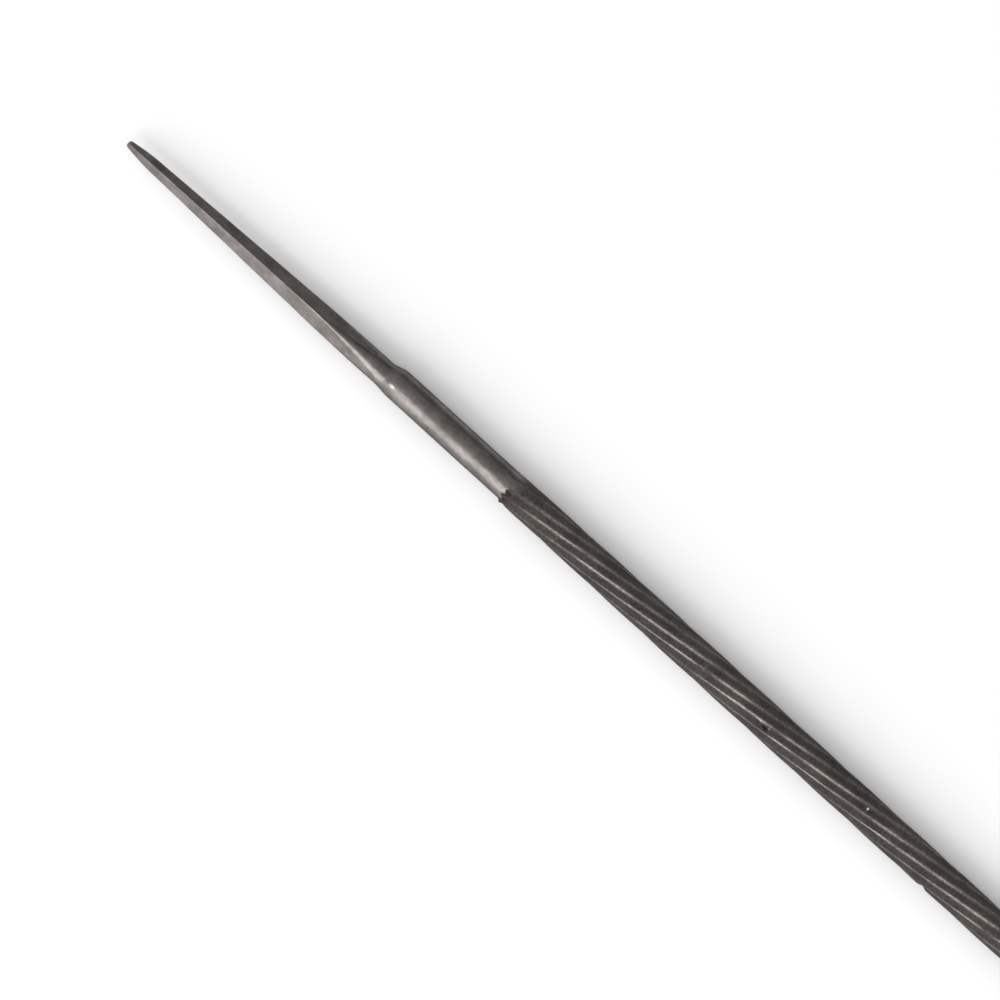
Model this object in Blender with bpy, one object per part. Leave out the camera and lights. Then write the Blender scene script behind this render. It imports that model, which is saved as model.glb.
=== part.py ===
"""A round file for sharpening saw chain: one steel bar with a square tang, a round neck and a spiral cut.

Metres, +Z up. The file lies along X with its tang towards -X. The body's lowest crests touch Z = 0, and
the origin is under the middle of the whole length. The skin is a row of closed rings, each square to X.
"""

import math

import bmesh
import bpy

# The bar as it is sold: its diameter over the crests, and its length from the tang's root to the nose
FILE_DIAMETER = 0.0048
BLADE_LENGTH = 0.2

# Tang: a blunt point, four long flats, then flats that bend out and round off into the bar
TANG_LENGTH = 0.0437
TANG_TIP_SIDE = 0.0007  # across the flats at the blunt tip
TANG_POINT_LENGTH = 0.0053
TANG_POINT_SIDE = 0.00136  # across the flats where the long flats begin
TANG_FLAT_LENGTH = 0.0231
TANG_FLAT_SIDE = 0.00226  # across the flats where the long flats end
TANG_ROOT_DIAMETER = 0.00353  # where the tang has turned round, against the shoulder
TANG_CORNER_RADIUS = 0.00005  # on the four long edges
TANG_TIP_OFFSET = 0.0003  # the point leans this far to -Y of the body's axis
TANG_ROOT_OFFSET = 0.00008  # and its root this far
TANG_CORNER_ANGLE = math.radians(90.0)  # of the uppermost edge, about X and counted from +Y
TANG_CORNERS = 4
FLARE_POWER = 1.3  # how late the last flats bend out: 1 is a straight flare
ROUNDING_POWER = 1.9  # and how late their edges round off

# Shoulder and neck: the step up to the bar, and the plain round stretch, turned a little off centre
SHOULDER_LENGTH = 0.0031
NECK_LENGTH = 0.0184
NECK_DIAMETER = 0.00426
NECK_OFFSET = 0.00008  # to +Y of the body's axis

# Cut: left-hand spiral rows, each a saw tooth in cross-section
ROWS = 11
ROW_PITCH = 0.0089  # from crest to crest along X
TOOTH_DEPTH = 0.0002
CUT_STEP_LENGTH = 0.0002  # the abrupt rise from the neck to the first crests
CUT_START_DIAMETER = 0.00462
CUT_SWELL_LENGTH = 0.028  # in which the crests reach the full diameter
CUT_TAPER_LENGTH = 0.06  # in which they draw in again towards the nose
CUT_END_DIAMETER = 0.00465
CREST_DIP = 0.000002  # in diameter, halfway along the full stretch, so that the file lies on both its ends
NOTCH_DEPTH = 0.00015  # that each groove starts with, on top of the tooth's depth
NOTCH_LENGTH = 0.0016
CREST_ANGLE = math.radians(101.5)  # of one crest where the cut starts, counted as the tang's edge is
GROOVE_SHARE = 0.2  # of the angle from crest to crest, between a crest and the bottom behind it
BACK_POWER = 1.6  # above 1 the tooth's back bulges

# Nose: the teeth run out, and the bare end is chamfered
RUN_OUT_LENGTH = 0.004
NOSE_LENGTH = 0.0025
NOSE_DIAMETER = 0.0043
NOSE_CHAMFER = 0.0005

# How finely the skin is laid out
TOOTH_POINT_SHARES = (0.0, GROOVE_SHARE, 0.45, 0.72)  # of the angle from crest to crest
TANG_POINT_RINGS = 3
TANG_FLARE_RINGS = 6
SHOULDER_RINGS = 4
NECK_RINGS = 3
NOTCH_RINGS = 2
RUN_OUT_RINGS = 2
RINGS_PER_PITCH = 2  # of the cut
RING_PHASE_SHARE = 0.8  # of a ring's step, from where a crest points straight down to the ring after it
RING_CLEARANCE = 0.0006  # the least step beside the notches and the run-out
DOWN_ANGLE = math.radians(270.0)

STEEL_COLOUR = (0.3, 0.285, 0.275, 1.0)
STEEL_ROUGHNESS = 0.38
SHARP_ANGLE = math.radians(18.0)

# What follows from the sizes above: places along X, counted from the tang's tip
LENGTH = TANG_LENGTH + BLADE_LENGTH
FLAT_END = TANG_POINT_LENGTH + TANG_FLAT_LENGTH
NECK_START = TANG_LENGTH + SHOULDER_LENGTH
NECK_END = NECK_START + NECK_LENGTH
CUT_START = NECK_END + CUT_STEP_LENGTH
NOTCH_END = CUT_START + NOTCH_LENGTH
NOSE_START = LENGTH - NOSE_LENGTH
CUT_END = NOSE_START - RUN_OUT_LENGTH

# and the spiral
LEAD = ROWS * ROW_PITCH
ROW_ANGLE = math.tau / ROWS
RING_POINTS = ROWS * len(TOOTH_POINT_SHARES)


def mix(a, b, share):
    return a + (b - a) * share


def ease(share):
    """0 to 1 with no slope at either end."""
    return share * share * (3 - 2 * share)


def shares(count):
    """The ends of that many equal steps from 0 to 1, without the 0."""
    return [(i + 1) / count for i in range(count)]


def even_angles():
    """Points spread evenly round a ring, the first of them on the tang's uppermost edge."""
    return [TANG_CORNER_ANGLE + math.tau * i / RING_POINTS for i in range(RING_POINTS)]


def cut_angles(x):
    """Points on the crests, bottoms and backs of the rows, which turn left-handed along X."""
    crest = CREST_ANGLE - math.tau * (x - CUT_START) / LEAD
    return [
        crest + ROW_ANGLE * (row + share)
        for row in range(ROWS)
        for share in TOOTH_POINT_SHARES
    ]


def square_radius(angle, side, corner):
    """From the centre to the outline of a square with round corners, one of which is at angle 0."""
    quarter = math.tau / TANG_CORNERS
    off_face = abs(angle % quarter - quarter / 2)
    half = side / 2
    flat = half - corner
    if half * math.tan(off_face) <= flat:
        return half / math.cos(off_face)
    along = flat * (math.cos(off_face) + math.sin(off_face))
    return along + math.sqrt(max(along * along - 2 * flat * flat + corner * corner, 0))


def tooth_drop(share):
    """How far the outline lies under the crests, as a share of the depth, on the way to the next crest."""
    if share <= GROOVE_SHARE:
        return share / GROOVE_SHARE
    return ((1 - share) / (1 - GROOVE_SHARE)) ** BACK_POWER


def ring(x, offset, angles, radii):
    """The corners of one ring at x from the tang's tip, its centre offset to +Y."""
    axis_height = FILE_DIAMETER / 2
    return [
        (
            x - LENGTH / 2,
            offset + radius * math.cos(angle),
            axis_height + radius * math.sin(angle),
        )
        for angle, radius in zip(angles, radii)
    ]


def round_ring(x, offset, angles, diameter):
    return ring(x, offset, angles, [diameter / 2] * RING_POINTS)


def tang_ring(x, side, corner):
    angles = even_angles()
    offset = -mix(TANG_TIP_OFFSET, TANG_ROOT_OFFSET, x / TANG_LENGTH)
    radii = [square_radius(a - TANG_CORNER_ANGLE, side, corner) for a in angles]
    return ring(x, offset, angles, radii)


def cut_ring(x, diameter, depth):
    radii = [diameter / 2 - depth * tooth_drop(share) for share in TOOTH_POINT_SHARES]
    return ring(x, 0, cut_angles(x), radii * ROWS)


def tang_rings():
    """The blunt point bulges, the long flats are true planes, and the last flats bend out and round off."""
    rings = [tang_ring(0, TANG_TIP_SIDE, TANG_CORNER_RADIUS)]
    for share in shares(TANG_POINT_RINGS):
        side = mix(TANG_TIP_SIDE, TANG_POINT_SIDE, math.sin(share * math.pi / 2))
        rings.append(tang_ring(TANG_POINT_LENGTH * share, side, TANG_CORNER_RADIUS))
    rings.append(tang_ring(FLAT_END, TANG_FLAT_SIDE, TANG_CORNER_RADIUS))
    for share in shares(TANG_FLARE_RINGS):
        side = mix(TANG_FLAT_SIDE, TANG_ROOT_DIAMETER, share**FLARE_POWER)
        corner = mix(TANG_CORNER_RADIUS, TANG_ROOT_DIAMETER / 2, share**ROUNDING_POWER)
        rings.append(tang_ring(mix(FLAT_END, TANG_LENGTH, share), side, corner))
    return rings


def shoulder_rings():
    rings = []
    for share in shares(SHOULDER_RINGS):
        rise = ease(share)
        x = mix(TANG_LENGTH, NECK_START, share)
        offset = mix(-TANG_ROOT_OFFSET, NECK_OFFSET, rise)
        diameter = mix(TANG_ROOT_DIAMETER, NECK_DIAMETER, rise)
        rings.append(round_ring(x, offset, even_angles(), diameter))
    return rings


def neck_rings():
    """Round all the way, while the points turn from the tang's edges to the first crests."""
    rings = []
    for share in shares(NECK_RINGS):
        x = mix(NECK_START, NECK_END, share)
        ends = zip(even_angles(), cut_angles(CUT_START))
        angles = [mix(first, last, share) for first, last in ends]
        rings.append(round_ring(x, NECK_OFFSET, angles, NECK_DIAMETER))
    return rings


def crest_diameter(x):
    """The crests swell to the full diameter, keep it but for a slight dip, and draw in towards the nose."""
    full_start = CUT_START + CUT_SWELL_LENGTH
    full_end = CUT_END - CUT_TAPER_LENGTH
    if x < full_start:
        return mix(FILE_DIAMETER, CUT_START_DIAMETER, (full_start - x) / CUT_SWELL_LENGTH)
    if x > full_end:
        return mix(FILE_DIAMETER, CUT_END_DIAMETER, (x - full_end) / CUT_TAPER_LENGTH)
    share = (x - full_start) / (full_end - full_start)
    return FILE_DIAMETER - CREST_DIP * 4 * share * (1 - share)


def cut_stations():
    """Where the rings of the cut lie: close together in the notches, then in step with the rows."""
    notches = [mix(CUT_START, NOTCH_END, share) for share in [0, *shares(NOTCH_RINGS)]]
    step = ROW_PITCH / RINGS_PER_PITCH
    step_angle = ROW_ANGLE / RINGS_PER_PITCH
    phase = (CREST_ANGLE - DOWN_ANGLE) % step_angle / step_angle + RING_PHASE_SHARE
    first = math.ceil((NOTCH_END + RING_CLEARANCE - CUT_START) / step - phase)
    last = math.floor((CUT_END - RING_CLEARANCE - CUT_START) / step - phase)
    middle = [CUT_START + step * (phase + k) for k in range(first, last + 1)]
    return notches + middle + [CUT_END]


def body_rings():
    """The cut from its abrupt start to where it begins to run out."""
    rings = []
    for x in cut_stations():
        notch = 1 - min((x - CUT_START) / NOTCH_LENGTH, 1)
        rings.append(cut_ring(x, crest_diameter(x), TOOTH_DEPTH + NOTCH_DEPTH * notch))
    return rings


def nose_rings():
    """The crests come down to the bare nose while the bottoms come up to it, then a chamfer."""
    rings = []
    for share in shares(RUN_OUT_RINGS):
        x = mix(CUT_END, NOSE_START, share)
        fade = ease(share)
        diameter = mix(CUT_END_DIAMETER, NOSE_DIAMETER, fade)
        rings.append(cut_ring(x, diameter, TOOTH_DEPTH * (1 - fade)))
    angles = cut_angles(NOSE_START)
    rings.append(round_ring(LENGTH - NOSE_CHAMFER, 0, angles, NOSE_DIAMETER))
    rings.append(round_ring(LENGTH, 0, angles, NOSE_DIAMETER - 2 * NOSE_CHAMFER))
    return rings


def skin(name, rings):
    """A closed mesh over the rings, with a flat face over the first and the last."""
    bm = bmesh.new()
    loops = [[bm.verts.new(point) for point in points] for points in rings]
    for near, far in zip(loops, loops[1:]):
        for i, corner in enumerate(near):
            after = (i + 1) % len(near)
            bm.faces.new((corner, near[after], far[after], far[i]))
    bm.faces.new(loops[0][::-1])
    bm.faces.new(loops[-1])
    bmesh.ops.recalc_face_normals(bm, faces=bm.faces)
    mesh = bpy.data.meshes.new(name)
    bm.to_mesh(mesh)
    bm.free()
    mesh.shade_smooth()
    mesh.set_sharp_from_angle(angle=SHARP_ANGLE)
    return mesh


def steel():
    """Bare hardened steel, satin and slightly warm."""
    material = bpy.data.materials.new("bare_steel")
    material.use_nodes = True
    shader = material.node_tree.nodes["Principled BSDF"]
    shader.inputs["Base Color"].default_value = STEEL_COLOUR
    shader.inputs["Metallic"].default_value = 1.0
    shader.inputs["Roughness"].default_value = STEEL_ROUGHNESS
    return material


def main():
    for thing in list(bpy.data.objects):
        bpy.data.objects.remove(thing)
    rings = tang_rings() + shoulder_rings() + neck_rings() + body_rings() + nose_rings()
    mesh = skin("chainsaw_file", rings)
    mesh.materials.append(steel())
    bpy.context.scene.collection.objects.link(bpy.data.objects.new("chainsaw_file", mesh))


main()
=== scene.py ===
# A round file for saw chain: one steel bar with a square tang, a plain neck and a body of spiral teeth.
# Metres, +Z up. The file lies along X on the floor, its tang towards -X.
import math

import bpy
import numpy as np
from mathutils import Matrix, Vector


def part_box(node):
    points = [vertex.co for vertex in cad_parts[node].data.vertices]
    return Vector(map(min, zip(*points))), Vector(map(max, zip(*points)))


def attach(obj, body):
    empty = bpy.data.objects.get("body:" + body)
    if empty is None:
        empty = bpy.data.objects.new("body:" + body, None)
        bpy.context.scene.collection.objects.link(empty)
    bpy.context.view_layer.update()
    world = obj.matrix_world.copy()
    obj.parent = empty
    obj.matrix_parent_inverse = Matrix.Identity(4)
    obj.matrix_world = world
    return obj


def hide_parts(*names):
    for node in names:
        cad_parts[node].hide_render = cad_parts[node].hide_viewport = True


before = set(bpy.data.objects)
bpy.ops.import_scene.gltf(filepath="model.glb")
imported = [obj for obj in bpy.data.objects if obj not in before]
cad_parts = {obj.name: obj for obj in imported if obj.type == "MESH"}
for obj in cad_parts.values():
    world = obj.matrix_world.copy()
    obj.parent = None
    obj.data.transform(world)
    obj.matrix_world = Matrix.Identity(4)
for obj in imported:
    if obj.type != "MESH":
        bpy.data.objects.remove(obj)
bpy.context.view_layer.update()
low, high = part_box("chainsaw_file")
length = high[0] - low[0]
print("frame loaded, the file is", round(length * 1000, 1), "mm long")


# the file: its sizes, laid out in rings from the tang's tip

bar = {
    "diameter": 0.0048,
    "rows": 11,
    "sharpAngle": math.radians(38.0),  # edges steeper than this are shaded sharp
    "seed": 7,
}
tang = {
    "length": 0.0437,
    "tipSide": 0.0007,
    "tipRound": 0.0003,  # in which the blunt tip rounds over
    "tipNarrowing": 0.7,  # how much of its section the rounding takes off at the very end
    "tipShares": np.array([0, 0.06, 0.2, 0.4, 0.65, 1]),  # where the rounding's rings lie
    "pointLength": 0.0053,
    "pointSide": 0.00136,
    "pointRings": 15,
    "flatLength": 0.0231,
    "flatSide": 0.00226,
    "flatRings": 25,
    "rootDiameter": 0.00353,
    "flareRings": 23,
    "edgeRadius": 0.00009,
    "edgeSideShare": 0.25,  # and never more of the side than this, until the flare
    "tipOffset": 0.0003,  # the point leans to -Y of the body's axis, and so does the root, less
    "rootOffset": 0.00008,
    "edgeAngle": math.radians(90.0),  # of the uppermost edge, about X and counted from +Y
    "flarePower": 1.3,
    "roundingPower": 1.9,
    "edgeCrowding": 0.85,  # how far the mesh columns gather at the four edges
    "unevenness": 0.000012,
    "waves": (0.011, 4),  # of the unevenness: the longest, and how many are added up
}
neck = {
    "shoulderLength": 0.0031,
    "shoulderRings": 25,
    "length": 0.0184,
    "plainRings": 29,
    "diameter": 0.00426,
    "offset": 0.00008,
    "unevenness": 0.000005,
    "waves": (0.009, 4),
}
cut = {
    "stepLength": 0.0002,
    "rowPitch": 0.0089,  # from crest to crest along X
    "depth": 0.0002,
    "startDiameter": 0.00462,
    "swellLength": 0.028,
    "taperLength": 0.06,
    "endDiameter": 0.00465,
    "notchDepth": 0.00015,
    "notchLength": 0.0016,
    "raggedness": 0.0004,  # how far the rows' starts lie from one line
    "startSlant": 0.0005,  # and how much later a row's back starts than its crest
    "startLength": 0.0003,  # in which those with the full notch step up from the neck
    "weakStartLength": 0.002,  # and the others
    "notchAngle": math.radians(140.0),  # the rows that start near here have the full notch
    "notchReach": math.radians(34.0),  # to either side, and then less over the next stretch
    "notchEase": math.radians(16.0),
    "weakStart": 0.1,  # of the depth, where the other rows start
    "weakLength": 0.011,  # in which those get their full depth
    "crestAngle": math.radians(95.2),
    "frontShare": 0.4,  # of the way to the next crest: the front ends and the back begins
    "landShare": 0.86,  # the back ends and the rounded land begins
    "landDrop": 0.05,  # how far the land has fallen where it meets the back
    "unevenness": 0.00001,
    "waves": (0.006, 5),
    "runOutLength": 0.004,
    "fineLength": 0.003,  # in which the rings stand close, at the start
    "fineRings": 30,
    "bodyRings": 289,
    "endRings": 9,
    "markRings": 11,  # these are added at each mark, out to so many of its reaches
    "markReaches": 2,
    "ringDigits": 6,  # rings are placed to the micrometre, and those that meet count as one
}
nose = {
    "length": 0.0025,
    "diameter": 0.0043,
    "chamfer": 0.0005,
    "ringShares": np.array([[1.5], [1], [0.5], [0]]),  # how many chamfers before the end the rings lie
}
uneven = {
    "shorter": 0.7,  # each wave against the one before: its length
    "weaker": 0.8,  # and its height
    "slowest": 0.8,  # between which its pace is then changed at random
    "fastest": 1.2,
    "turns": 3,  # the longest goes round the bar fewer than this many times
    "moreTurns": 2,  # and each after it may do so this many times more
}

# the columns inside one row, crowded at the crest and in the groove
toothShares = np.array([
    0, 0.02, 0.045, 0.08, 0.12, 0.17, 0.22, 0.28, 0.35, 0.44, 0.54, 0.65, 0.76, 0.85, 0.91, 0.96,
])

# places along the bar that follow from the sizes
axisHeight = bar["diameter"] / 2
crestRadius = min(high[1] - low[1], high[2] - low[2]) / 2  # of the CAD model, which the skin stays inside
flatEnd = tang["pointLength"] + tang["flatLength"]
neckStart = tang["length"] + neck["shoulderLength"]
neckEnd = neckStart + neck["length"]
cutStart = neckEnd + cut["stepLength"]
noseStart = length - nose["length"]
cutEnd = noseStart - cut["runOutLength"]
lead = bar["rows"] * cut["rowPitch"]
rowAngle = math.tau / bar["rows"]
columns = bar["rows"] * len(toothShares)
columnShare = np.tile(toothShares, bar["rows"])
columnTurn = (np.repeat(np.arange(bar["rows"]), len(toothShares)) + columnShare) * rowAngle


def newMark(x, angle, along, around, depth=0.0, dark=0.0, paintedHighlight=0.0):
    # a small fault: place from the tip, angle in degrees, reach along and around, how deep, how much painted
    # shade and how much painted highlight
    return {
        "x": x, "angle": math.radians(angle), "along": along, "around": around,
        "depth": depth, "dark": dark, "paintedHighlight": paintedHighlight,
    }


marks = [
    # on the body: a chip in painted shade with painted highlights beside it, a raised speck with a painted
    # highlight, a dent in painted shade, and a nick in the outline with a little painted shade
    newMark(x=0.1107, angle=111.5, along=0.00055, around=0.00024, depth=0.00014, dark=1.0),
    newMark(x=0.1112, angle=105.0, along=0.00016, around=0.00014, paintedHighlight=0.4),
    newMark(x=0.1097, angle=101.0, along=0.00090, around=0.00016, paintedHighlight=0.4),
    newMark(x=0.1274, angle=79.5, along=0.00018, around=0.00017, depth=-0.00002, paintedHighlight=1.0),
    newMark(x=0.1278, angle=83.0, along=0.00025, around=0.00018, depth=0.00005, dark=0.8),
    newMark(x=0.1394, angle=176.0, along=0.00045, around=0.00100, depth=0.00026, dark=0.2),
    # on the shoulder and the neck: painted highlights
    newMark(x=0.0461, angle=110.0, along=0.00055, around=0.00026, depth=0.00001, paintedHighlight=0.55),
    newMark(x=0.0447, angle=110.0, along=0.00030, around=0.00030, depth=0.00001, paintedHighlight=0.25),
    newMark(x=0.0621, angle=108.0, along=0.00110, around=0.00030, depth=0.00001, paintedHighlight=0.25),
    newMark(x=0.0635, angle=116.0, along=0.00050, around=0.00018, depth=0.00001, paintedHighlight=0.22),
    # where the cut starts: a raised speck with a painted highlight, and the burr, a little darkened with
    # painted shade
    newMark(x=0.0655, angle=109.0, along=0.00020, around=0.00035, depth=-0.00003, paintedHighlight=0.2),
    newMark(x=0.0661, angle=178.0, along=0.00024, around=0.00045, depth=-0.00030, dark=0.3),
]


def mix(a, b, share):
    return a + (b - a) * share


def ease(share):  # 3 s^2 - 2 s^3, which is level at both ends
    s = np.clip(share, 0, 1)
    return s * s * (3 - 2 * s)


def steepEase(share):  # 6 s^5 - 15 s^4 + 10 s^3, which stays level for longer
    s = np.clip(share, 0, 1)
    return s * s * s * (s * (s * 6 - 15) + 10)


def spaced(start, end, rings):  # even rings after the start, the last of them at the end
    return np.linspace(start, end, rings + 1)[1:]


def wave(rng, x, around, longest, count):
    # smooth unevenness between -1 and 1: the sum of sin(pace x + turns around + phase) over ever shorter
    # and weaker waves, each with a whole number of turns round the bar
    total = np.zeros(np.broadcast(x, around).shape)
    for k in range(count):
        pace = math.tau / (longest * uneven["shorter"]**k)
        turns = rng.integers(0, uneven["turns"] + uneven["moreTurns"] * k)
        along = pace * x * rng.uniform(uneven["slowest"], uneven["fastest"])
        total += np.sin(along + turns * around + rng.uniform(0, math.tau)) * uneven["weaker"]**k
    return total / sum(uneven["weaker"]**k for k in range(count))


def tangAngles(crowding):
    # even angles from the uppermost edge, drawn towards the four edges by t - c sin(2 pi t) / (2 pi)
    t = np.arange(columns) / columns * 4
    return tang["edgeAngle"] + (t - crowding * np.sin(math.tau * t) / math.tau) * math.pi / 2


def cutAngles(x):  # the crests turn left-handed: one turn in each lead
    return cut["crestAngle"] - math.tau * (x - cutStart) / lead + columnTurn


def squareRadius(angle, side, corner):
    # centre to outline of a square with round corners, one of them at angle 0: half / cos on the flats,
    # else the far crossing with the corner's circle
    quarter = math.pi / 2
    offFace = np.abs(angle % quarter - quarter / 2)
    half = side / 2
    flat = half - corner
    onFlat = half / np.cos(offFace)
    along = flat * (np.cos(offFace) + np.sin(offFace))
    onCorner = along + np.sqrt(np.maximum(along**2 - 2 * flat**2 + corner**2, 0))
    return np.where(half * np.tan(offFace) <= flat, onFlat, onCorner)


def startStrength():
    # how abruptly each column starts: 1 near the notch angle, easing to 0 further round
    turn = (cut["crestAngle"] + columnTurn - cut["notchAngle"] + math.pi) % math.tau - math.pi
    return 1 - ease((np.abs(turn) - cut["notchReach"]) / cut["notchEase"])


def toothDrop(share):
    # under the crests as a share of the depth: the front falls by 3 s^2 - 2 s^3, the back climbs evenly,
    # and the land closes it as the square of what is left
    front = ease(share / cut["frontShare"])
    back = mix(1, cut["landDrop"], (share - cut["frontShare"]) / (cut["landShare"] - cut["frontShare"]))
    land = cut["landDrop"] * ((1 - share) / (1 - cut["landShare"])) ** 2
    return np.where(share <= cut["frontShare"], front, np.where(share <= cut["landShare"], back, land))


# each stretch gives x, how far the rings' centres lie to +Y, the angles, the radii and the cut's mask

def tangRings(rng):
    # point: the side grows by a quarter sine; flats: it grows evenly; flare: it grows by a power of the
    # share while the edges round off; the tip is narrowed by the root of 1 - narrowing (1 - share)^2
    tip = tang["tipRound"] * tang["tipShares"]
    point = spaced(tang["tipRound"], tang["pointLength"], tang["pointRings"])
    flats = spaced(tang["pointLength"], flatEnd, tang["flatRings"])
    flare = spaced(flatEnd, tang["length"], tang["flareRings"])
    x = np.concatenate([tip, point, flats, flare])[:, None]
    pointShare = np.clip(x / tang["pointLength"], 0, 1)
    flatShare = np.clip((x - tang["pointLength"]) / tang["flatLength"], 0, 1)
    flareShare = np.clip((x - flatEnd) / (tang["length"] - flatEnd), 0, 1)
    side = mix(tang["tipSide"], tang["pointSide"], np.sin(pointShare * math.pi / 2))
    side = side + (tang["flatSide"] - tang["pointSide"]) * flatShare
    side = side + (tang["rootDiameter"] - tang["flatSide"]) * flareShare ** tang["flarePower"]
    tipShare = np.clip(x / tang["tipRound"], 0, 1)
    side = side * np.sqrt(1 - tang["tipNarrowing"] * (1 - tipShare) ** 2)
    edge = np.minimum(tang["edgeRadius"], side * tang["edgeSideShare"])
    corner = mix(edge, tang["rootDiameter"] / 2, flareShare ** tang["roundingPower"])
    angle = tangAngles(tang["edgeCrowding"] * (1 - flareShare))
    radius = squareRadius(angle - tang["edgeAngle"], side, np.minimum(corner, side / 2))
    radius = radius + tang["unevenness"] * wave(rng, x, angle, *tang["waves"]) * ease(x / tang["pointLength"])
    offset = -mix(tang["tipOffset"], tang["rootOffset"], x / tang["length"])
    return x, offset, angle, radius, 0 * radius


def neckRings(rng):
    # shoulder: the diameter and the offset rise by the steep ease; neck: round, while the columns turn
    # to where the first crests are
    shoulder = spaced(tang["length"], neckStart, neck["shoulderRings"])
    plain = spaced(neckStart, neckEnd, neck["plainRings"])
    x = np.concatenate([shoulder, plain])[:, None]
    rise = steepEase((x - tang["length"]) / neck["shoulderLength"])
    offset = mix(-tang["rootOffset"], neck["offset"], rise)
    turned = np.clip((x - neckStart) / neck["length"], 0, 1)
    angle = mix(tangAngles(0)[None], cutAngles(cutStart)[None], turned)
    radius = mix(tang["rootDiameter"], neck["diameter"], rise) / 2 + 0 * angle
    radius = radius + neck["unevenness"] * wave(rng, x, angle, *neck["waves"])
    return x, offset, angle, radius, 0 * radius


def cutRings(rng):
    # crest radius - depth * tooth drop; the rows start raggedly, the crests swell, taper and run out
    fine = cutStart + cut["fineLength"] * np.linspace(0, 1, cut["fineRings"])
    body = spaced(fine[-1], cutEnd, cut["bodyRings"])
    steps = np.linspace(-cut["markReaches"], cut["markReaches"], cut["markRings"])
    close = [mark["x"] + mark["along"] * steps for mark in marks if mark["x"] > fine[-1]]
    ending = spaced(cutEnd, noseStart, cut["endRings"])
    x = np.unique(np.round(np.concatenate([fine, body, *close, ending]), cut["ringDigits"]))[:, None]
    angle = cutAngles(x)
    row = np.floor(columnTurn / rowAngle + 0.5).astype(int) % bar["rows"]
    late = cut["raggedness"] * rng.uniform(0, 1, bar["rows"])[row] + cut["startSlant"] * columnShare
    strength = startStrength()[None]
    begun = ease((x - cutStart - late[None]) / mix(cut["weakStartLength"], cut["startLength"], strength))
    grown = mix(cut["weakStart"], 1, ease((x - cutStart) / cut["weakLength"]))
    swell = np.clip((x - cutStart) / cut["swellLength"], 0, 1)
    taper = np.clip((x - cutEnd) / cut["taperLength"] + 1, 0, 1)
    notch = 1 - np.clip((x - cutStart) / cut["notchLength"], 0, 1)
    fade = ease((x - cutEnd) / cut["runOutLength"])
    diameter = mix(cut["startDiameter"], bar["diameter"], swell)
    diameter = mix(diameter, cut["endDiameter"], taper)
    diameter = mix(diameter, nose["diameter"], fade)
    depth = cut["depth"] * mix(grown, 1, strength) + cut["notchDepth"] * notch * strength
    depth = depth * (1 - fade)
    radius = diameter / 2 - depth * toothDrop(columnShare)[None]
    radius = radius - cut["unevenness"] * (1 + wave(rng, x, angle, *cut["waves"])) / 2
    radius = mix(neck["diameter"] / 2 + neck["offset"] * np.cos(angle), radius, begun)
    return x, 0 * x, angle, radius, (1 - fade) * begun


def noseRings():
    # a bare round end, then a chamfer, in which the radius falls as far as x goes on
    x = length - nose["chamfer"] * nose["ringShares"]
    inset = nose["chamfer"] * np.clip(1 - nose["ringShares"], 0, 1)
    angle = cutAngles(noseStart)[None] + 0 * x
    radius = nose["diameter"] / 2 - inset + 0 * angle
    return x, 0 * x, angle, radius, 0 * radius


def markHumps(mark, x, angle, radius):
    # exp(-u^2 - v^2), with u and v the distances along and around in the mark's own reach
    turn = (angle - mark["angle"] + math.pi) % math.tau - math.pi
    return np.exp(-(((x - mark["x"]) / mark["along"]) ** 2) - (radius * turn / mark["around"]) ** 2)


dirt = {
    "filmStart": 0.13,  # shares of the way from one crest to the next: where the film starts,
    "filmEase": 0.08,  # and in which it gets its full strength
    "grimeStart": 0.24,
    "grimeEase": 0.13,
    "cleanStart": 0.85,
    "cleanEase": 0.12,
    "wander": 0.05,  # how far all these stray, as a share of a row
    "wanderWaves": (0.014, 5),
    # the notched starts of the strongest rows carry a brown stain, darkened further as painted shade in the
    # notches
    "stainAndShadeFull": 0.0002,  # the brown stain keeps its strength this far into the cut,
    "stainAndShadeFade": 0.002,  # and is gone after this much more
    "cloudWaves": (0.012, 4),
    "cloudLevel": 0.8,  # how much dirt lies outside the grooves too: where it is cloudiest,
    "stainAndShadeLevel": 0.4,  # where the stain is,
    "freshLevel": 0.65,  # and on the first stretch of the cut
    "shallowLevel": 0.6,  # and all over the weak starts
}


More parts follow.
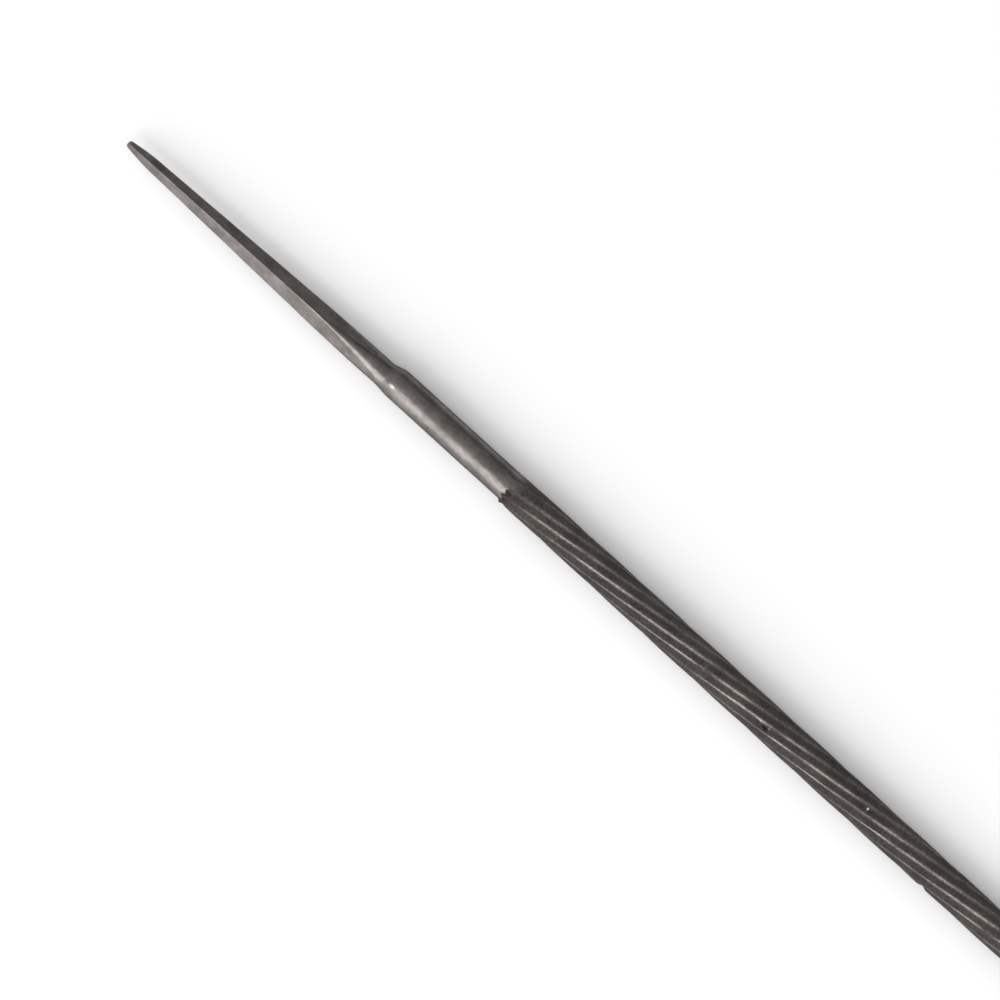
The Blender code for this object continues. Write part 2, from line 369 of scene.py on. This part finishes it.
def surfaceMasks(rng, x, angle, radius, onCut):
    # a dark film starts behind the crest, matt dirt fills the groove, and the upper back is worn clean again
    share = columnShare[None] + dirt["wander"] * wave(rng, x, angle, *dirt["wanderWaves"])
    clean = ease((share - dirt["cleanStart"]) / dirt["cleanEase"])
    film = ease((share - dirt["filmStart"]) / dirt["filmEase"]) * (1 - clean)
    dirty = ease((share - dirt["grimeStart"]) / dirt["grimeEase"]) * (1 - clean)
    strength = startStrength()[None]
    # the brown stain at the notched starts, with painted shade in the notches
    stainedAndShaded = (1 - ease((x - cutStart - dirt["stainAndShadeFull"]) / dirt["stainAndShadeFade"])) * strength
    cloud = (1 + wave(rng, x, angle, *dirt["cloudWaves"])) / 2
    fresh = 1 - ease((x - cutStart) / cut["weakLength"])
    patches = dirt["cloudLevel"] * cloud**2 + dirt["stainAndShadeLevel"] * stainedAndShaded + dirt["freshLevel"] * fresh
    grime = mix(dirty, 1, np.clip(patches, 0, 1))
    grime = onCut * mix(grime, dirt["shallowLevel"], fresh * (1 - strength))
    dark, paintedHighlight = 0 * radius, 0 * radius
    # each mark darkens with painted shade and lightens with a painted highlight
    for mark in marks:
        reach = markHumps(mark, x, angle, radius)
        dark = dark + mark["dark"] * reach
        paintedHighlight = paintedHighlight + mark["paintedHighlight"] * reach
    return {
        "tangMask": 1 - ease((x - tang["length"]) / neck["shoulderLength"]) + 0 * radius,
        "cutMask": onCut,
        "film": onCut * film,
        "grime": grime,
        "rustAndShade": onCut * stainedAndShaded * dirty,
        "paintedShade": np.clip(dark, 0, 1),
        "paintedHighlight": np.clip(paintedHighlight, 0, 1),
    }


def skin(name, points, values):
    # rings x columns of points become quads, and a fan closes each end
    rings, around = points.shape[:2]
    index = np.arange(rings * around).reshape(rings, around)
    after = np.roll(index, -1, axis=1)
    quads = np.stack([index[:-1], after[:-1], after[1:], index[1:]], axis=-1).reshape(-1, 4)
    middle = np.array([points[0].mean(axis=0), points[-1].mean(axis=0)])
    first = np.stack([after[0], index[0], np.full(around, rings * around)], axis=-1)
    last = np.stack([index[-1], after[-1], np.full(around, rings * around + 1)], axis=-1)
    mesh = bpy.data.meshes.new(name)
    corners = np.concatenate([points.reshape(-1, 3), middle])
    mesh.from_pydata(corners.tolist(), [], quads.tolist() + first.tolist() + last.tolist())
    for key, value in values.items():
        layer = mesh.attributes.new(key, "FLOAT", "POINT")
        ends = np.array([value[0].mean(), value[-1].mean()])
        layer.data.foreach_set("value", np.concatenate([value.ravel(), ends]).astype(np.float32))
    mesh.validate()
    mesh.shade_smooth()
    mesh.set_sharp_from_angle(angle=bar["sharpAngle"])
    return mesh


def buildFile():
    # y = offset + radius cos(angle) and z = axis height + radius sin(angle), less the marks' humps
    rng = np.random.default_rng(bar["seed"])
    zones = [tangRings(rng), neckRings(rng), cutRings(rng), noseRings()]
    x, offset, angle, radius, onCut = [np.concatenate(parts) for parts in zip(*zones)]
    for mark in marks:
        radius = radius - mark["depth"] * markHumps(mark, x, angle, radius)
    radius = np.minimum(radius, crestRadius)
    place = np.stack([
        x - length / 2 + 0 * angle,
        offset + radius * np.cos(angle),
        axisHeight + radius * np.sin(angle),
    ], axis=-1)
    mesh = skin("chainsawFile", place, surfaceMasks(rng, x, angle, radius, onCut))
    piece = bpy.data.objects.new("chainsawFile", mesh)
    bpy.context.scene.collection.objects.link(piece)
    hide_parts("chainsaw_file")
    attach(piece, "root")
    print("file built,", len(mesh.polygons), "faces")
    return piece


# the steel

steel = {
    "satin": (0.174, 0.163, 0.152),
    "satinPink": (0.180, 0.161, 0.156),
    "land": (0.165, 0.151, 0.144),
    "film": (0.090, 0.081, 0.077),  # on the fronts of the rows, which still shine
    "grime": (0.058, 0.049, 0.0464),
    "grimeOlive": (0.056, 0.0502, 0.045),
    # a brown rust stain, darkened further as painted shade in the notches where the cut starts
    "rustAndShade": (0.036, 0.026, 0.021),
    # painted shade: the near-black in the chip, the dent, the nick and the burr
    "paintedShade": (0.012, 0.011, 0.010),
    # painted highlights: the near-white of the glints on the marks
    "paintedHighlight": (0.75, 0.74, 0.72),
    "stainRange": (0.38, 0.62),  # of the clouds, over which the first tint turns to the second
    "satinRoughness": 0.38,
    "tangRoughness": 0.31,
    "landRoughness": 0.29,
    "grimeRoughness": 0.75,
    "metal": 1.0,
    "grimeMetal": 0.0,
    "edgeTint": (0.4, 0.4, 0.4, 1.0),  # of the shine at a grazing angle
    "specular": 0.12,
    "satinGrain": {"Size": 1.0, "Streaks": 0.4},
    "cutGrain": {"Size": 2.2, "Streaks": 0.2},
    "grainRange": (0.3, 0.7),  # of the mottling and the clouds, from darkest to lightest
    "satinSpeckle": 0.24,  # how far the fine mottling lightens and darkens the steel
    "cutSpeckle": 0.42,  # and on the cut
    "patch": 0.22,  # and how far the wide clouds do
    "bumpStrength": 0.9,
    "bumpDistance": 0.00002,
    "frays": {  # how the edge of each mask is broken up
        "grime": {"Fray": 0.5, "Scale": 2600.0, "Softness": 0.9},
        "rustAndShade": {"Fray": 0.7, "Scale": 1800.0, "Softness": 1.0},
        "paintedHighlight": {"Fray": 0.3, "Scale": 4000.0, "Softness": 0.9},
        "paintedShade": {"Fray": 0.3, "Scale": 4000.0, "Softness": 0.7},
    },
}
grainPattern = {
    "drawn": (0.06, 1, 1),  # which makes the streaks about 17 times as long as they are wide
    "streaks": {"Scale": 9000, "Detail": 3},
    "mottle": {"Scale": 1500, "Detail": 4},
    "pits": {"Scale": 8000, "Detail": 2},
    "cloud": {"Scale": 330, "Detail": 5},
}
frayDetail = 4
mixSockets = {"RGBA": (6, 7, 2), "FLOAT": (2, 3, 0)}  # a Mix node's two inputs and its output


def put(tree, kind, inputs=None, **settings):
    # a node with its settings and its inputs, each a value or the socket that feeds it
    node = tree.nodes.new(kind)
    for key, value in settings.items():
        setattr(node, key, value)
    for key, value in (inputs or {}).items():
        if isinstance(value, bpy.types.NodeSocket):
            tree.links.new(value, node.inputs[key])
        else:
            node.inputs[key].default_value = value
    return node


def blend(tree, kind, factor, a, b):
    # a mix of two colours or two numbers, each a value or a socket
    first, second, result = mixSockets[kind]
    a, b = [(*v, 1.0) if isinstance(v, tuple) else v for v in (a, b)]
    return put(tree, "ShaderNodeMix", {0: factor, first: a, second: b}, data_type=kind).outputs[result]


def reckon(tree, operation, *values):  # one sum, of numbers or sockets
    return put(tree, "ShaderNodeMath", dict(enumerate(values)), operation=operation).outputs[0]


def remap(tree, value, source, target=(0.0, 1.0), kind="LINEAR"):
    # from the source range to the target range and kept inside it, evenly or by a smooth step
    return put(tree, "ShaderNodeMapRange", {
        "Value": value, "From Min": source[0], "From Max": source[1],
        "To Min": target[0], "To Max": target[1]}, interpolation_type=kind).outputs[0]


def noiseField(tree, vector, scale, detail):
    values = {"Vector": vector, "Scale": scale, "Detail": detail}
    return put(tree, "ShaderNodeTexNoise", values).outputs["Fac"]


def newGroup(name, inlets, outlets):
    tree = bpy.data.node_groups.new(name, "ShaderNodeTree")
    for key, start in inlets.items():
        tree.interface.new_socket(key, in_out="INPUT", socket_type="NodeSocketFloat").default_value = start
    for key in outlets:
        tree.interface.new_socket(key, in_out="OUTPUT", socket_type="NodeSocketFloat")
    return tree, put(tree, "NodeGroupInput"), put(tree, "NodeGroupOutput")


def grainGroup():
    # fine mottling and lengthwise drawing marks: a mask round 0.5, wide clouds and a height for the bump
    inlets = {"Size": 1.0, "Streaks": 0.5}
    tree, inlet, outlet = newGroup("grain", inlets, ("Mottle", "Cloud", "Height"))
    place = put(tree, "ShaderNodeTexCoord").outputs["Object"]
    scaled = {0: place, "Scale": inlet.outputs["Size"]}
    sized = put(tree, "ShaderNodeVectorMath", scaled, operation="SCALE").outputs[0]
    drawn = put(tree, "ShaderNodeMapping", {"Vector": sized, "Scale": grainPattern["drawn"]}).outputs[0]

    def field(vector, name):
        return noiseField(tree, vector, grainPattern[name]["Scale"], grainPattern[name]["Detail"])

    streaks = field(drawn, "streaks")
    mottle = field(sized, "mottle")
    pits = field(sized, "pits")
    tree.links.new(field(sized, "cloud"), outlet.inputs["Cloud"])
    share = inlet.outputs["Streaks"]
    tree.links.new(blend(tree, "FLOAT", share, mottle, streaks), outlet.inputs["Mottle"])
    tree.links.new(blend(tree, "FLOAT", share, pits, streaks), outlet.inputs["Height"])
    return tree


def breakUpGroup():
    # a soft mask frayed by noise: the smooth step of (amount + (noise - 0.5) * fray - 0.5) / softness + 0.5
    inlets = {"Amount": 0.5, "Fray": 0.5, "Scale": 3000.0, "Softness": 0.5}
    tree, inlet, outlet = newGroup("breakUp", inlets, ("Mask",))
    place = put(tree, "ShaderNodeTexCoord").outputs["Object"]
    noise = noiseField(tree, place, inlet.outputs["Scale"], frayDetail)
    centred = reckon(tree, "SUBTRACT", noise, 0.5)
    frayed = reckon(tree, "MULTIPLY_ADD", centred, inlet.outputs["Fray"], inlet.outputs["Amount"])
    half = reckon(tree, "MULTIPLY", inlet.outputs["Softness"], 0.5)
    start = reckon(tree, "SUBTRACT", 0.5, half)
    end = reckon(tree, "ADD", 0.5, half)
    tree.links.new(remap(tree, frayed, (start, end), kind="SMOOTHSTEP"), outlet.inputs["Mask"])
    return tree


def steelMaterial():
    material = bpy.data.materials.new("bare_steel")
    material.use_nodes = True
    tree = material.node_tree
    shader = tree.nodes["Principled BSDF"]
    shader.inputs["Specular IOR Level"].default_value = steel["specular"]
    shader.inputs["Specular Tint"].default_value = steel["edgeTint"]
    grain, breakUp = grainGroup(), breakUpGroup()

    def mask(name):
        return put(tree, "ShaderNodeAttribute", attribute_name=name).outputs["Fac"]

    def frayed(name):
        values = {"Amount": mask(name), **steel["frays"][name]}
        return put(tree, "ShaderNodeGroup", values, node_tree=breakUp).outputs["Mask"]

    def shaded(noise, reach):  # a level from 1 - reach to 1 + reach
        return remap(tree, noise, steel["grainRange"], (1 - reach, 1 + reach))

    satinGrain = put(tree, "ShaderNodeGroup", steel["satinGrain"], node_tree=grain).outputs
    cutGrain = put(tree, "ShaderNodeGroup", steel["cutGrain"], node_tree=grain).outputs
    onCut = mask("cutMask")
    inGrime, inRustAndShade, onPaintedHighlight, inPaintedShade = [frayed(name) for name in ("grime", "rustAndShade", "paintedHighlight", "paintedShade")]

    stain = remap(tree, satinGrain["Cloud"], steel["stainRange"])
    satin = blend(tree, "RGBA", stain, steel["satin"], steel["satinPink"])
    grime = blend(tree, "RGBA", stain, steel["grime"], steel["grimeOlive"])
    colour = blend(tree, "RGBA", onCut, satin, steel["land"])
    colour = blend(tree, "RGBA", mask("film"), colour, steel["film"])
    colour = blend(tree, "RGBA", inGrime, colour, grime)
    # the rust stain, with painted shade in the notches
    colour = blend(tree, "RGBA", inRustAndShade, colour, steel["rustAndShade"])
    # painted shade darkens the chip, the dent, the nick and the burr
    colour = blend(tree, "RGBA", inPaintedShade, colour, steel["paintedShade"])
    # last, the marks' painted highlights
    colour = blend(tree, "RGBA", onPaintedHighlight, colour, steel["paintedHighlight"])
    onSatin = shaded(satinGrain["Mottle"], steel["satinSpeckle"])
    onTeeth = shaded(cutGrain["Mottle"], steel["cutSpeckle"])
    speckle = blend(tree, "FLOAT", onCut, onSatin, onTeeth)
    level = reckon(tree, "MULTIPLY", speckle, shaded(satinGrain["Cloud"], steel["patch"]))
    tinted = put(tree, "ShaderNodeVectorMath", {0: colour, "Scale": level}, operation="SCALE").outputs[0]
    tree.links.new(tinted, shader.inputs["Base Color"])
    roughness = blend(tree, "FLOAT", mask("tangMask"), steel["satinRoughness"], steel["tangRoughness"])
    roughness = blend(tree, "FLOAT", onCut, roughness, steel["landRoughness"])
    roughness = blend(tree, "FLOAT", inGrime, roughness, steel["grimeRoughness"])
    tree.links.new(roughness, shader.inputs["Roughness"])
    metallic = blend(tree, "FLOAT", inGrime, steel["metal"], steel["grimeMetal"])
    tree.links.new(metallic, shader.inputs["Metallic"])
    bump = put(tree, "ShaderNodeBump", {
        "Height": blend(tree, "FLOAT", onCut, satinGrain["Height"], cutGrain["Height"]),
        "Strength": steel["bumpStrength"], "Distance": steel["bumpDistance"]}).outputs["Normal"]
    tree.links.new(bump, shader.inputs["Normal"])
    return material


# floor, light and camera

stage = {
    "floorHalf": 3.0,
    "floorColour": (0.92, 0.92, 0.92, 1.0),
    "floorRoughness": 0.28,
    "floorIor": 1.6,
}
sky = {
    "colour": (1, 1, 1, 1),
    "nearLevel": 0.95,  # on the -Y side, where the lamp is
    "farLevel": 0.4,
    "reach": 0.6,  # how far the direction leans to either side where these are reached
    "darkStart": 0.78,  # and where the +Y side begins to darken, and where it ends
    "darkEnd": 1.0,
    "darkShare": 0.12,
    "endLevel": 1.0,  # what the sky has more off both ends of the bar, where its shine doesn't show it
    "endStart": 0.45,
    "endFull": 0.85,
}
keyPanel = {
    "elevation": math.radians(35),
    "distance": 1.6,
    "width": 1.0,
    "height": 1.5,
    "radiance": 3.0,
}
view = {
    "width": 0.1282,  # of the frame, at the height of the bar's axis
    "centre": (-0.0558, -0.00206),
    "turn": math.radians(42.335),
    "lens": 200.0,
    "sensor": 36.0,
    "nearest": 0.01,
    "farthest": 20,
}


def buildFloor():
    half = stage["floorHalf"]
    corners = [(-half, -half, 0), (half, -half, 0), (half, half, 0), (-half, half, 0)]
    mesh = bpy.data.meshes.new("floor")
    mesh.from_pydata(corners, [], [(0, 1, 2, 3)])
    floor = bpy.data.objects.new("floor", mesh)
    material = bpy.data.materials.new("paleFloor")
    material.use_nodes = True
    shader = material.node_tree.nodes["Principled BSDF"]
    shader.inputs["Base Color"].default_value = stage["floorColour"]
    shader.inputs["Roughness"].default_value = stage["floorRoughness"]
    shader.inputs["IOR"].default_value = stage["floorIor"]
    mesh.materials.append(material)
    bpy.context.scene.collection.objects.link(floor)


def buildLamp():
    # one wide soft panel on the -Y side; its energy is radiance * pi * area
    light = bpy.data.lights.new("keyPanel", "AREA")
    light.shape = "RECTANGLE"
    light.size, light.size_y = keyPanel["width"], keyPanel["height"]
    light.energy = keyPanel["radiance"] * math.pi * keyPanel["width"] * keyPanel["height"]
    lamp = bpy.data.objects.new("keyPanel", light)
    across, up = math.cos(keyPanel["elevation"]), math.sin(keyPanel["elevation"])
    lamp.location = (view["centre"][0], -keyPanel["distance"] * across, keyPanel["distance"] * up)
    lamp.rotation_euler = (math.pi / 2 - keyPanel["elevation"], 0, 0)
    bpy.context.scene.collection.objects.link(lamp)


def buildWorld():
    # an even change from the +Y side to the -Y side, times a smooth step down low on the +Y side,
    # plus a smooth step up off both ends of the bar
    world = bpy.data.worlds.new("studio")
    world.use_nodes = True
    tree = world.node_tree
    direction = put(tree, "ShaderNodeTexCoord").outputs["Generated"]
    parts = put(tree, "ShaderNodeSeparateXYZ", {0: direction}).outputs
    across = parts["Y"]
    along = reckon(tree, "ABSOLUTE", parts["X"])
    slope = remap(tree, across, (-sky["reach"], sky["reach"]), (sky["nearLevel"], sky["farLevel"]))
    shade = remap(tree, across, (sky["darkStart"], sky["darkEnd"]), (1.0, sky["darkShare"]), "SMOOTHSTEP")
    ends = remap(tree, along, (sky["endStart"], sky["endFull"]), (0.0, sky["endLevel"]), "SMOOTHSTEP")
    level = reckon(tree, "MULTIPLY_ADD", slope, shade, ends)
    background = tree.nodes["Background"]
    background.inputs["Color"].default_value = sky["colour"]
    tree.links.new(level, background.inputs["Strength"])
    bpy.context.scene.world = world


def buildCamera():
    camera = bpy.data.cameras.new("camera")
    camera.lens = view["lens"]
    camera.sensor_width = view["sensor"]
    camera.clip_start, camera.clip_end = view["nearest"], view["farthest"]
    eye = bpy.data.objects.new("camera", camera)
    eye.location = (*view["centre"], axisHeight + view["width"] * view["lens"] / view["sensor"])
    eye.rotation_euler = (0, 0, view["turn"])
    bpy.context.scene.collection.objects.link(eye)
    bpy.context.scene.camera = eye


bpy.context.scene.view_settings.view_transform = "Standard"
piece = buildFile()
piece.data.materials.append(steelMaterial())
print("steel finished")
buildFloor()
buildLamp()
buildWorld()
buildCamera()
print("stage set")
